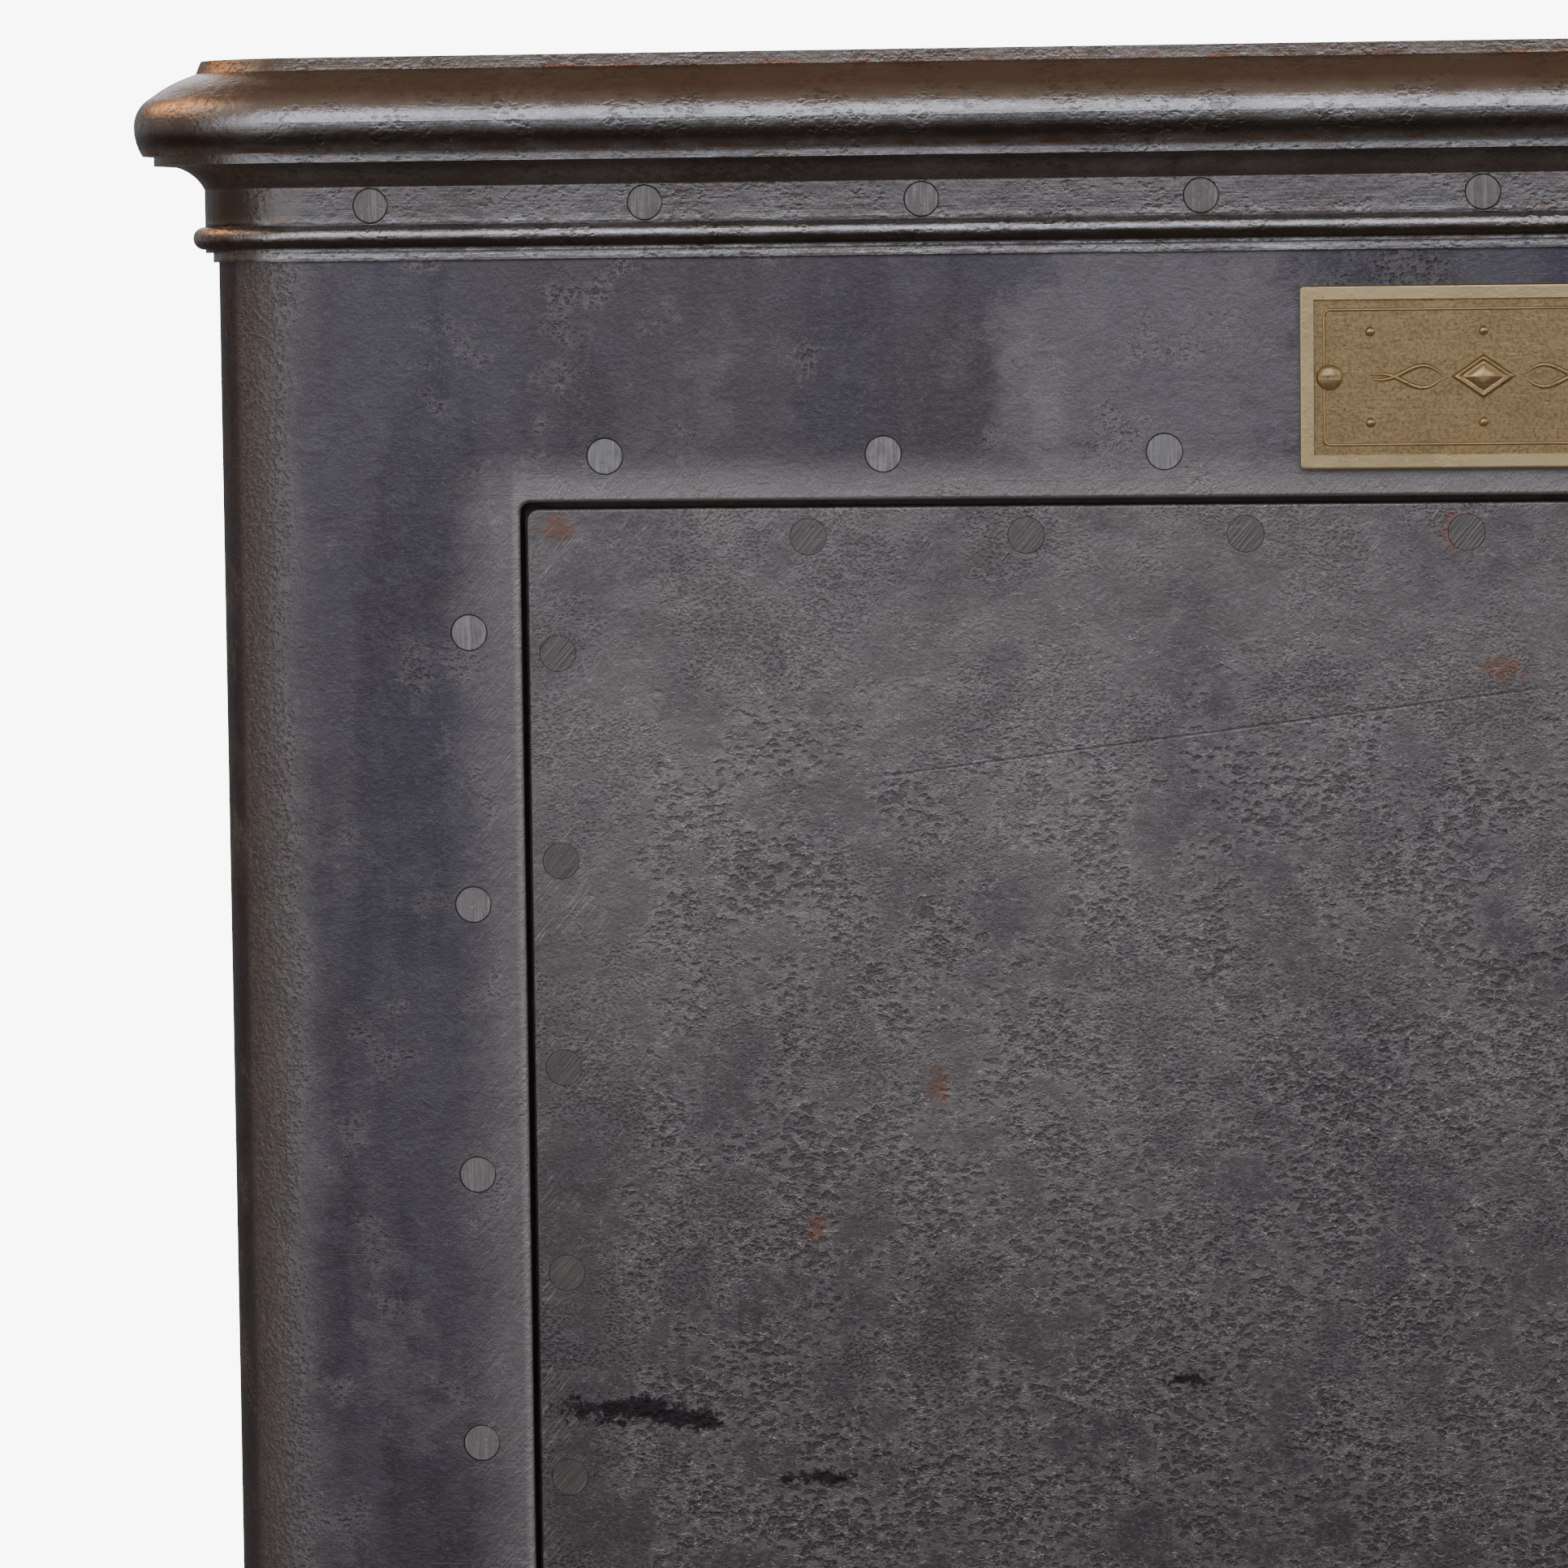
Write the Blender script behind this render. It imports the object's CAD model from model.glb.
import logging
import math
from dataclasses import dataclass, field
from enum import Enum

import bmesh
import bpy
import numpy as np
from mathutils import Matrix, Vector


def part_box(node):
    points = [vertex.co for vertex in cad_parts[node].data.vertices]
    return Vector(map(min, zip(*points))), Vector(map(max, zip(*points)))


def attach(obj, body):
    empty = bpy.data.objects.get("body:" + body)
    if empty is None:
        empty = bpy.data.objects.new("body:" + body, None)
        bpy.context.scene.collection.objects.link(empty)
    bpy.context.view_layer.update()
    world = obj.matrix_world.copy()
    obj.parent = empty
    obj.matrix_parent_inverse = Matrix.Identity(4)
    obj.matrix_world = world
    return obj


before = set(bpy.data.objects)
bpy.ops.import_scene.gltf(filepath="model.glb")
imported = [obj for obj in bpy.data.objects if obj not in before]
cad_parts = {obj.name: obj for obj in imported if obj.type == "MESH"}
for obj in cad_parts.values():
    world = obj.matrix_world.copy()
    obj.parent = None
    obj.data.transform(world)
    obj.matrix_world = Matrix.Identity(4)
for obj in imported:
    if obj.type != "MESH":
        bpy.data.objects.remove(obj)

LOG = logging.getLogger("safe")
MM = 0.001

# Places on the front, in metres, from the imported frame
FRONT_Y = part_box("front_frame")[0].y
HALF_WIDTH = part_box("front_frame")[1].x
CORNICE_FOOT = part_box("cornice_moulding")[0].z
DOOR_LOW, DOOR_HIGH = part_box("door_front_plate")
PLATE_LOW, PLATE_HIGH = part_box("name_plate")
DOOR_GAP = 1.5 * MM
OPENING_HALF = DOOR_HIGH.x + DOOR_GAP

Socket = bpy.types.NodeSocket


class Body(Enum):
    """The rigid bodies that new pieces ride on."""

    SAFE = "safe_body"
    DOOR = "door"


class Across(Enum):
    """Ways a file or a cloth was drawn over the metal, as turns about the front's normal."""

    LEVEL = 0.0
    UPRIGHT = 90.0
    SLANT = 50.0


def linear(hex_colour: str) -> tuple[float, float, float, float]:
    """Turn an sRGB hex colour into linear light.

    Each channel c becomes c / 12.92 below 0.04045, and ((c + 0.055) / 1.055) to the power 2.4 above it.

    Args:
        hex_colour: Six hex digits, without a hash.

    Returns:
        Red, green, blue and an alpha of one.
    """
    channels = [int(hex_colour[i : i + 2], 16) / 255 for i in (0, 2, 4)]
    light = [c / 12.92 if c <= 0.04045 else ((c + 0.055) / 1.055) ** 2.4 for c in channels]
    return (light[0], light[1], light[2], 1.0)


def add_node(
    tree: bpy.types.NodeTree,
    kind: str,
    settings: dict | None = None,
    values: dict | None = None,
    links: dict | None = None,
) -> bpy.types.Node:
    """Add a node with its settings, socket values and incoming links.

    Args:
        tree: Node tree that the node joins.
        kind: Blender's name of the node type.
        settings: Attributes of the node.
        values: Default values by input name or number.
        links: Output sockets by input name or number.

    Returns:
        The new node.
    """
    made = tree.nodes.new(kind)
    for name, value in (settings or {}).items():
        setattr(made, name, value)
    for key, value in (values or {}).items():
        made.inputs[key].default_value = value
    for key, socket in (links or {}).items():
        tree.links.new(socket, made.inputs[key])
    return made


@dataclass
class Pattern:
    """Masks that a finish is laid from, in one node tree. Sizes are in millimetres."""

    tree: bpy.types.NodeTree
    place: Socket
    seed: float = 0.0

    def stretched(self, across: Across, size: tuple[float, float, float]) -> Socket:
        """Place turned about the front's normal and divided by the grain's size on each axis.

        Args:
            across: Way that the grain runs.
            size: Grain on each turned axis, in millimetres.

        Returns:
            The coordinates, one unit to a grain.
        """
        turn = {"Rotation": (0.0, math.radians(across.value), 0.0)}
        spun = add_node(self.tree, "ShaderNodeMapping", None, turn, {"Vector": self.place})
        scale = {"Scale": tuple(1 / (s * MM) for s in size)}
        return add_node(self.tree, "ShaderNodeMapping", None, scale, {"Vector": spun.outputs[0]}).outputs[0]

    def moved(self, size: tuple[float, float, float], shift: float, place: Socket | None = None) -> Socket:
        """Place divided by the grain's size on each axis and set off by an amount of its own.

        Args:
            size: Grain on each axis; it counts only where no place is given.
            shift: Number that sets this pattern apart from the others.
            place: Coordinates that are already scaled to the grain.

        Returns:
            The coordinates, one unit to a grain.
        """
        away = 13.7 * (self.seed + shift)
        scale = (1.0, 1.0, 1.0) if place else tuple(1 / (s * MM) for s in size)
        values = {"Scale": scale, "Location": (away, 0.61 * away, -0.37 * away)}
        links = {"Vector": place or self.place}
        return add_node(self.tree, "ShaderNodeMapping", None, values, links).outputs[0]

    def noise(
        self, size: float, detail: float, rough: float, shift: float, place: Socket | None = None
    ) -> Socket:
        """Fractal noise whose largest grain is of a size.

        Args:
            size: Width of the largest grain; it counts only where no place is given.
            detail: Number of finer grains, each half as wide.
            rough: Strength of each finer grain against the one before.
            shift: Number that sets this noise apart from the others.
            place: Coordinates that are already scaled to the grain.

        Returns:
            The noise, about 0.5.
        """
        made = add_node(
            self.tree,
            "ShaderNodeTexNoise",
            None,
            {"Scale": 1.0, "Detail": detail, "Roughness": rough},
            {"Vector": self.moved((size, size, size), shift, place)},
        )
        return made.outputs[0]

    def ridges(self, size: float, stretch: float, shift: float) -> Socket:
        """Short thin crests: 1 where noise stretched along the front passes through its middle value.

        Args:
            size: Height of the noise's grain.
            stretch: Width of a grain over its height.
            shift: Number that sets these crests apart from others.

        Returns:
            The mask.
        """
        wave = self.noise(1.0, 2.0, 0.5, shift, self.moved((size * stretch, size, size), shift))
        miss = self.sums("ABSOLUTE", self.sums("SUBTRACT", wave, 0.5), 0.0)
        return self.both(self.step(miss, 0.034, 0.004), self.clouds(size * 1.6, 0.46, 0.58, shift + 0.5, 2.0))

    def step(self, socket: Socket, low: float, high: float) -> Socket:
        """Smooth step of a value.

        Args:
            socket: The value.
            low: Value at which the step is 0; it may be the larger.
            high: Value at which the step is 1.

        Returns:
            The mask, from 0 to 1.
        """
        made = add_node(
            self.tree,
            "ShaderNodeMapRange",
            {"interpolation_type": "SMOOTHSTEP"},
            {"From Min": low, "From Max": high},
            {"Value": socket},
        )
        return made.outputs[0]

    def sums(self, operation: str, first: Socket, second: Socket | float) -> Socket:
        """One sum on a socket and another socket or a number.

        Args:
            operation: Blender's name of the sum.
            first: First term.
            second: Second term.

        Returns:
            The result.
        """
        if isinstance(second, Socket):
            links, values = {0: first, 1: second}, None
        else:
            links, values = {0: first}, {1: second}
        return add_node(self.tree, "ShaderNodeMath", {"operation": operation}, values, links).outputs[0]

    def both(self, *masks: Socket) -> Socket:
        """Product of masks.

        Args:
            masks: One mask or more.

        Returns:
            The mask of where all of them hold.
        """
        product = masks[0]
        for mask in masks[1:]:
            product = self.sums("MULTIPLY", product, mask)
        return product

    def any_of(self, *masks: Socket) -> Socket:
        """Largest of masks.

        Args:
            masks: One mask or more.

        Returns:
            The mask of where any of them holds.
        """
        largest = masks[0]
        for mask in masks[1:]:
            largest = self.sums("MAXIMUM", largest, mask)
        return largest

    def clouds(
        self, size: float, low: float, high: float, shift: float, detail: float = 6.0, rough: float = 0.6
    ) -> Socket:
        """Mask of fractal clouds of a size, between two levels of the noise."""
        return self.step(self.noise(size, detail, rough, shift), low, high)

    def strokes(self, across: Across, width: float, length: float, shift: float) -> Socket:
        """File or cloth strokes of a width and length, as noise stretched along them."""
        return self.noise(1.0, 3.0, 0.55, shift, self.stretched(across, (length, length, width)))

    def pits(self, size: float, stretch: float, eaten: Socket, shift: float) -> tuple[Socket, Socket]:
        """Corrosion pits: rounded hollows whose walls meet in thin rims.

        A pit is a cell of a Voronoi pattern that noise pushes about. The square of the distance from
        the cell's middle, raised where the metal isn't eaten, is cut off by a smooth step: 0 on the
        floor of a pit and 1 on the skin between pits.

        Args:
            size: Height of a pit.
            stretch: Width of a pit over its height.
            eaten: Mask of where the metal is pitted, from 0 to 1.
            shift: Number that sets these pits apart from others.

        Returns:
            The skin mask, and the rims between close pits.
        """
        grain = 1.4 * size
        push = add_node(
            self.tree,
            "ShaderNodeTexNoise",
            None,
            {"Scale": 1.0, "Detail": 3.0},
            {"Vector": self.moved((grain, grain, grain), shift)},
        )
        centred = add_node(
            self.tree,
            "ShaderNodeVectorMath",
            {"operation": "SUBTRACT"},
            {1: (0.5, 0.5, 0.5)},
            {0: push.outputs[1]},
        )
        reach = 1.6 * size * MM
        moved = add_node(
            self.tree,
            "ShaderNodeVectorMath",
            {"operation": "MULTIPLY_ADD"},
            {1: (reach, reach, reach)},
            {0: centred.outputs[0], 2: self.place},
        )
        scale = (1 / (size * stretch * MM), 1 / (size * MM), 1 / (size * MM))
        grid = add_node(
            self.tree,
            "ShaderNodeMapping",
            None,
            {"Scale": scale, "Location": (3.7 * shift, 1.9 * shift, 0.0)},
            {"Vector": moved.outputs[0]},
        )
        cells = add_node(self.tree, "ShaderNodeTexVoronoi", None, {"Scale": 1.0}, {"Vector": grid.outputs[0]})
        depth = self.sums("POWER", cells.outputs[0], 2.0)
        whole = self.sums("MULTIPLY", self.sums("SUBTRACT", eaten, 1.0), -0.6)
        level = self.sums("ADD", depth, whole)
        skin = self.step(level, 0.16, 0.42)
        rims = self.both(self.step(level, 0.36, 0.52), self.step(whole, 0.45, 0.10))
        return skin, rims

    def axes(self) -> bpy.types.Node:
        """The X, Y and Z of the place, in metres."""
        return add_node(self.tree, "ShaderNodeSeparateXYZ", None, None, {"Vector": self.place})

    def front(self) -> Socket:
        """Mask of the front face and its rounded corners, without the sides and the back."""
        return self.step(self.axes().outputs[1], FRONT_Y + 30 * MM, FRONT_Y + 4 * MM)

    def spot(
        self, x: float, drop: float, width: float, height: float, ragged: float, noise: Socket
    ) -> Socket:
        """Ragged patch on the front: 1 where the elliptical distance and some noise stay under one.

        Args:
            x: Middle of the patch, from the middle of the front.
            drop: Middle of the patch, down from the foot of the cornice.
            width: Half width.
            height: Half height.
            ragged: Strength of the noise against the distance.
            noise: The noise that eats the patch's edge.

        Returns:
            The mask.
        """
        middle_z = CORNICE_FOOT / MM - drop
        moved = add_node(
            self.tree,
            "ShaderNodeMapping",
            None,
            {
                "Location": (-x / width, 0.0, -middle_z / height),
                "Scale": (1 / (width * MM), 0.0, 1 / (height * MM)),
            },
            {"Vector": self.place},
        )
        links = {0: moved.outputs[0]}
        far = add_node(self.tree, "ShaderNodeVectorMath", {"operation": "LENGTH"}, None, links)
        edge = self.sums("MULTIPLY", noise, 2 * ragged)
        return self.step(self.sums("ADD", far.outputs[1], edge), 1.3 + ragged, 0.7 + ragged)

    def colours(self, base: str, layers: list[tuple[Socket, float, str]]) -> Socket:
        """Lay colours over a base, each through its mask and at its strength.

        Args:
            base: Hex colour of the ground.
            layers: Mask, strength and hex colour of each layer, from the lowest up.

        Returns:
            The colour.
        """
        below = None
        for mask, strength, colour in layers:
            values = {7: linear(colour)} if below else {6: linear(base), 7: linear(colour)}
            links = {0: self.sums("MULTIPLY", mask, strength)}
            if below:
                links[6] = below
            below = add_node(self.tree, "ShaderNodeMix", {"data_type": "RGBA"}, values, links).outputs[2]
        return below

    def relief(self, heights: list[tuple[Socket, float]]) -> Socket:
        """Normal of a surface raised by masks.

        Args:
            heights: Each mask with its height in millimetres.

        Returns:
            The normal.
        """
        total = self.sums("MULTIPLY", heights[0][0], heights[0][1] * MM)
        for mask, height in heights[1:]:
            total = self.sums("ADD", total, self.sums("MULTIPLY", mask, height * MM))
        return add_node(
            self.tree, "ShaderNodeBump", None, {"Strength": 1.0, "Distance": 1.0}, {"Height": total}
        ).outputs[0]


@dataclass(frozen=True)
class Finish:
    """A surface as it was made. Colours are sRGB hex values."""

    name: str
    metallic: float
    roughness: tuple[float, float]
    seed: float = 0.0

    def surface(self, pattern: Pattern) -> tuple[Socket, Socket, Socket]:
        """Colour, roughness and relief of the finish.

        Args:
            pattern: Maker of masks in the material's node tree.

        Returns:
            Colour, roughness mask and normal.
        """
        raise NotImplementedError

    def make(self) -> bpy.types.Material:
        """Build the material: colour, roughness and relief into one shader.

        Returns:
            The finished material.
        """
        material = bpy.data.materials.new(self.name)
        material.use_nodes = True
        tree = material.node_tree
        tree.nodes.clear()
        place = add_node(tree, "ShaderNodeTexCoord").outputs["Object"]
        colour, mask, normal = self.surface(Pattern(tree, place, self.seed))
        low, high = self.roughness
        rough = add_node(tree, "ShaderNodeMapRange", None, {"To Min": low, "To Max": high}, {"Value": mask})
        shader = add_node(
            tree,
            "ShaderNodeBsdfPrincipled",
            {"name": "surface"},
            {"Metallic": self.metallic},
            {"Base Color": colour, "Roughness": rough.outputs[0], "Normal": normal},
        )
        add_node(tree, "ShaderNodeOutputMaterial", None, None, {"Surface": shader.outputs[0]})
        return material


@dataclass(frozen=True)
class BluedPlate(Finish):
    """Hot-rolled iron plate, blued by its scale and rubbed by hand.

    The eye reads dark purple-blue clouds, broken-edged grey patches where the scale has gone, file
    strokes along the bent corners and the opening, and faint level scratches.
    """

    dark: str = "5c585d"
    blue: str = "63616d"
    low: str = "4f4b4c"
    mid: str = "7e7b7f"
    worn: str = "a09c9b"
    filed: str = "bcb8b4"
    brown: str = "6c5f57"

    def surface(self, pattern: Pattern) -> tuple[Socket, Socket, Socket]:
        """Colour, roughness and relief of the blued plate.

        Args:
            pattern: Maker of masks in the material's node tree.

        Returns:
            Colour, roughness mask and normal.
        """
        axes = pattern.axes()
        side = pattern.sums("ABSOLUTE", axes.outputs[0], 0.0)
        front = pattern.front()
        # The filed strip beside the opening and the rubbed corners have edges that wander by the drift
        drift = pattern.sums("MULTIPLY", pattern.noise(26.0, 8.0, 0.66, 1.0), 18 * MM)
        shifted = pattern.sums("ADD", side, drift)
        below_head = pattern.step(axes.outputs[2], CORNICE_FOOT - 44 * MM, CORNICE_FOOT - 60 * MM)
        edge = OPENING_HALF + 9 * MM
        beside = pattern.both(pattern.step(shifted, edge + 22 * MM, edge), front, below_head)
        corner = pattern.both(
            pattern.step(shifted, HALF_WIDTH - 22 * MM, HALF_WIDTH - 4 * MM),
            pattern.step(side, HALF_WIDTH - 5 * MM, HALF_WIDTH - 9 * MM),
            front,
        )
        rim = pattern.both(
            pattern.step(side, OPENING_HALF + 2.6 * MM, OPENING_HALF + 0.7 * MM), front, below_head
        )
        # The jamb behind the front face stays brown
        inside = pattern.both(
            pattern.step(side, OPENING_HALF + 0.5 * MM, OPENING_HALF + 0.2 * MM),
            pattern.step(axes.outputs[1], FRONT_Y + 0.6 * MM, FRONT_Y + 1.4 * MM),
            pattern.step(axes.outputs[1], FRONT_Y + 110 * MM, FRONT_Y + 90 * MM),
            below_head,
        )
        lower = pattern.both(
            pattern.step(axes.outputs[2], CORNICE_FOOT - 60 * MM, CORNICE_FOOT - 330 * MM), front
        )
        # Marks of the file, of scouring and of water
        slant = pattern.step(pattern.strokes(Across.SLANT, 0.45, 7.0, 2.0), 0.50, 0.62)
        filed = pattern.both(beside, slant)
        scratches = pattern.step(pattern.strokes(Across.LEVEL, 0.35, 40.0, 3.0), 0.665, 0.71)
        streaks = pattern.step(pattern.strokes(Across.UPRIGHT, 22.0, 130.0, 4.0), 0.44, 0.60)
        # Patches where the scale has gone, down to the grain of the plate
        broad = pattern.clouds(80.0, 0.44, 0.60, 6.0, 3.0)
        patches = pattern.both(pattern.clouds(30.0, 0.50, 0.62, 5.0, 12.0, 0.78), broad)
        mottle = pattern.clouds(6.0, 0.44, 0.62, 7.0, 8.0, 0.74)
        grain = pattern.noise(1.5, 5.0, 0.72, 8.0)
        speckle = pattern.step(grain, 0.49, 0.64)
        edges = pattern.noise(22.0, 12.0, 0.80, 9.0)
        by_plate = pattern.both(pattern.spot(-74.0, 26.0, 36.0, 36.0, 1.5, edges), front)
        by_rivet = pattern.both(pattern.spot(-106.0, 36.0, 9.0, 15.0, 1.4, edges), front)
        clusters = pattern.clouds(19.0, 0.50, 0.64, 11.0, 6.0, 0.66)
        ridges = pattern.both(
            pattern.ridges(1.0, 1.0, 12.0), pattern.any_of(clusters, pattern.sums("MULTIPLY", corner, 0.8))
        )
        eaten = pattern.any_of(pattern.sums("MULTIPLY", clusters, 0.7), corner)
        skin, rims = pattern.pits(1.15, 1.1, eaten, 18.0)
        colour = pattern.colours(
            self.dark,
            [
                (pattern.clouds(120.0, 0.36, 0.64, 13.0, 5.0), 0.60, self.blue),
                (lower, 0.45, self.low),
                (streaks, 0.40, self.mid),
                (pattern.clouds(150.0, 0.50, 0.66, 14.0, 3.0), 0.40, self.brown),
                (patches, 0.36, self.worn),
                (by_plate, 0.50, self.worn),
                (by_rivet, 0.45, self.worn),
                (mottle, 0.24, self.mid),
                (speckle, 0.40, self.mid),
                (corner, 0.50, self.worn),
                (beside, 0.66, self.worn),
                (filed, 0.32, self.filed),
                (rims, 0.22, self.filed),
                (ridges, 0.62, self.filed),
                (rim, 0.65, self.filed),
                (scratches, 0.28, self.worn),
                (inside, 0.85, self.brown),
            ],
        )
        rough = pattern.noise(6.0, 6.0, 0.65, 15.0)
        normal = pattern.relief(
            [
                (skin, 0.090),
                (ridges, 0.080),
                (grain, 0.240),
                (mottle, 0.040),
                (filed, 0.035),
                (scratches, -0.025),
                (pattern.noise(9.0, 3.0, 0.5, 16.0), 0.22),
                (pattern.noise(45.0, 3.0, 0.5, 17.0), 0.70),
            ]
        )
        return colour, rough, normal


# Middle from the middle of the front, drop from the cornice, half width and half height, in millimetres
Patch = tuple[float, float, float, float]


@dataclass(frozen=True)
class PittedPlate(Finish):
    """Old iron plate, eaten by rust, then scraped and oiled.

    The eye reads pits whose lower rims catch the light, warmer and lighter metal than the frame's,
    copper-red spots, remnants of dark paint, and rubbed ends where rivets were filed off.
    """

    base: str = "827d7b"
    dark: str = "524e51"
    light: str = "9d9895"
    ridge: str = "d2cdc8"
    rust: str = "9d6c52"
    paint: str = "2b272d"
    violet: str = "69646b"
    rust_patches: tuple[Patch, ...] = (
        (-216.0, 63.0, 3.4, 2.8),
        (-6.5, 65.0, 3.0, 4.2),
        (-128.0, 195.0, 2.2, 3.6),
        (-157.0, 229.0, 2.0, 3.4),
        (4.0, 97.0, 4.4, 2.6),
        (120.0, 420.0, 5.0, 4.0),
    )
    paint_patches: tuple[Patch, ...] = (
        (-202.0, 272.0, 14.0, 3.2),
        (-188.0, 274.0, 8.0, 2.8),
        (-158.0, 288.0, 8.0, 1.5),
        (-70.0, 264.0, 5.0, 1.3),
        (90.0, 610.0, 14.0, 3.0),
    )

    def surface(self, pattern: Pattern) -> tuple[Socket, Socket, Socket]:
        """Colour, roughness and relief of the pitted plate.

        Args:
            pattern: Maker of masks in the material's node tree.

        Returns:
            Colour, roughness mask and normal.
        """
        axes = pattern.axes()
        x, z = axes.outputs[0], axes.outputs[2]
        drift = pattern.sums("MULTIPLY", pattern.noise(34.0, 8.0, 0.66, 1.0), 48 * MM)
        from_left = pattern.sums("ADD", pattern.sums("SUBTRACT", x, DOOR_LOW.x), drift)
        below = pattern.sums("MULTIPLY", pattern.sums("SUBTRACT", z, DOOR_HIGH.z), -1.0)
        from_top = pattern.sums("ADD", below, drift)
        inside = pattern.sums("MINIMUM", from_left, from_top)
        margin = pattern.step(inside, 26 * MM, 60 * MM)
        deep = pattern.step(from_top, 40 * MM, 120 * MM)
        patchy = pattern.clouds(17.0, 0.38, 0.60, 2.0, 7.0, 0.70)
        eaten = pattern.both(
            pattern.sums("ADD", pattern.sums("MULTIPLY", patchy, 0.75), 0.25),
            margin,
            pattern.sums("ADD", pattern.sums("MULTIPLY", deep, 0.5), 0.5),
        )
        # Large pits where the rust ate deep, small ones all over, and the crests between them
        skin, rims = pattern.pits(1.7, 1.5, eaten, 3.0)
        even = pattern.sums("ADD", pattern.sums("MULTIPLY", pattern.clouds(24.0, 0.42, 0.62, 4.0), 0.4), 0.5)
        small_skin, small_rims = pattern.pits(0.85, 1.2, even, 5.0)
        crests = pattern.both(pattern.ridges(1.9, 1.7, 6.0), eaten)
        fine_crests = pattern.both(pattern.ridges(1.0, 1.4, 7.0), even)
        edge = pattern.step(inside, 46 * MM, 32 * MM)
        slant = pattern.step(pattern.strokes(Across.SLANT, 0.45, 7.0, 8.0), 0.50, 0.64)
        filed = pattern.both(edge, slant, pattern.clouds(13.0, 0.50, 0.60, 9.0, 8.0, 0.72))
        top_wear = pattern.both(
            pattern.step(from_top, 70 * MM, 30 * MM), pattern.clouds(16.0, 0.46, 0.56, 10.0, 10.0, 0.76)
        )
        ragged = pattern.noise(2.6, 6.0, 0.75, 11.0)
        rust = pattern.any_of(*[pattern.spot(*patch, 2.2, ragged) for patch in self.rust_patches])
        freckles = pattern.both(
            pattern.clouds(2.6, 0.66, 0.74, 17.0, 4.0), pattern.clouds(70.0, 0.52, 0.64, 18.0)
        )
        paint = pattern.any_of(*[pattern.spot(*patch, 2.4, ragged) for patch in self.paint_patches])
        scratch = self.long_scratch(pattern, x, z)
        level = pattern.step(pattern.strokes(Across.LEVEL, 0.35, 50.0, 24.0), 0.66, 0.71)
        grain = pattern.noise(1.2, 5.0, 0.70, 29.0)
        colour = pattern.colours(
            self.base,
            [
                (pattern.clouds(110.0, 0.42, 0.62, 25.0, 8.0, 0.66), 0.45, self.light),
                (pattern.clouds(85.0, 0.46, 0.62, 26.0, 8.0, 0.66), 0.60, self.violet),
                (pattern.step(from_top, 60 * MM, 300 * MM), 0.68, self.dark),
                (pattern.clouds(28.0, 0.50, 0.68, 27.0, 9.0, 0.70), 0.40, self.dark),
                (pattern.step(small_skin, 0.8, 0.1), 0.16, self.dark),
                (pattern.step(skin, 0.8, 0.1), 0.20, self.dark),
                (pattern.step(grain, 0.50, 0.64), 0.16, self.light),
                (top_wear, 0.30, self.light),
                (small_rims, 0.16, self.ridge),
                (rims, 0.25, self.ridge),
                (crests, 0.50, self.ridge),
                (fine_crests, 0.26, self.ridge),
                (filed, 0.40, self.ridge),
                (level, 0.20, self.light),
                (scratch, 0.30, self.dark),
                (freckles, 0.25, self.rust),
                (rust, 0.50, self.rust),
                (paint, 0.85, self.paint),
            ],
        )
        rough = pattern.noise(5.0, 6.0, 0.7, 28.0)
        normal = pattern.relief(
            [
                (skin, 0.085),
                (small_skin, 0.045),
                (crests, 0.120),
                (fine_crests, 0.060),
                (grain, 0.120),
                (pattern.noise(6.0, 4.0, 0.55, 30.0), 0.26),
                (filed, 0.04),
                (scratch, -0.06),
                (paint, 0.04),
                (pattern.noise(50.0, 3.0, 0.5, 31.0), 0.8),
            ]
        )
        return colour, rough, normal

    def long_scratch(self, pattern: Pattern, x: Socket, z: Socket) -> Socket:
        """Hair-thin scratch that rises gently to the right across the upper door.

        The mask is 1 where the height differs from a straight line by less than a third of a millimetre.

        Args:
            pattern: Maker of masks.
            x: Distance to the right of the middle.
            z: Height.

        Returns:
            The mask.
        """
        start_x = -150 * MM
        start_z = CORNICE_FOOT - 123 * MM
        slope = 0.13
        line_z = pattern.sums("ADD", pattern.sums("MULTIPLY", x, slope), start_z - slope * start_x)
        miss = pattern.sums("ABSOLUTE", pattern.sums("SUBTRACT", z, line_z), 0.0)
        line = pattern.step(miss, 0.45 * MM, 0.15 * MM)
        starts = pattern.step(x, start_x, start_x + 30 * MM)
        ends = pattern.step(x, 40 * MM, -10 * MM)
        return pattern.both(line, starts, ends)


@dataclass(frozen=True)
class Band:
    """Level band of colour on a moulding. Heights in millimetres above its foot."""

    low: float
    high: float
    soft: float
    strength: float
    colour: str
    broken: bool = False


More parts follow.
